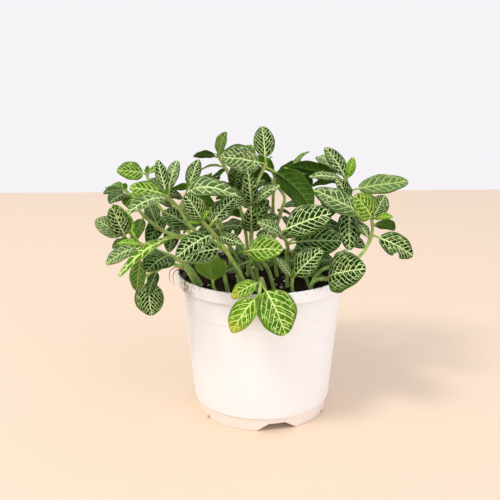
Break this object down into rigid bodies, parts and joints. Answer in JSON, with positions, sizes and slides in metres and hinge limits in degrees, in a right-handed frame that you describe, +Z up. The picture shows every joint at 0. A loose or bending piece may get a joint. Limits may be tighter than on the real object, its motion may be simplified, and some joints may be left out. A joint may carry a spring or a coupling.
{
  "type": "potted nerve plant",
  "caption": "Small nerve plant whose oval, pale-veined leaves spill over the rim of a plain white tapered nursery pot with a notched foot.",
  "frame": {"origin": "on the pot's axis, on the surface that the pot stands on", "axes": "+Z up; the side seen in the picture faces -Y, with +X to its right"},
  "size_m": [0.1912, 0.148, 0.1772],
  "materials": {
    "white_polypropylene": "semi-gloss moulded",
    "potting_soil": "rough, crumbly and dark",
    "foliage": "satin leaf with pale veins"
  },
  "bodies": {
    "root": {"pot": "white_polypropylene", "soil": "potting_soil", "stem_01": "foliage", "stem_02": "foliage", "stem_03": "foliage", "stem_04": "foliage", "stem_05": "foliage", "stem_06": "foliage", "stem_07": "foliage", "stem_08": "foliage", "stem_09": "foliage", "stem_10": "foliage", "stem_11": "foliage", "stem_12": "foliage", "stem_13": "foliage", "stem_14": "foliage", "stem_15": "foliage", "stem_16": "foliage", "stem_17": "foliage", "stem_18": "foliage", "stem_19": "foliage", "stem_20": "foliage", "stem_21": "foliage", "stem_22": "foliage", "stem_23": "foliage", "stem_24": "foliage", "stem_25": "foliage", "stem_26": "foliage", "stem_27": "foliage", "stem_28": "foliage", "stem_29": "foliage", "stem_30": "foliage"}
  },
  "joints": []
}
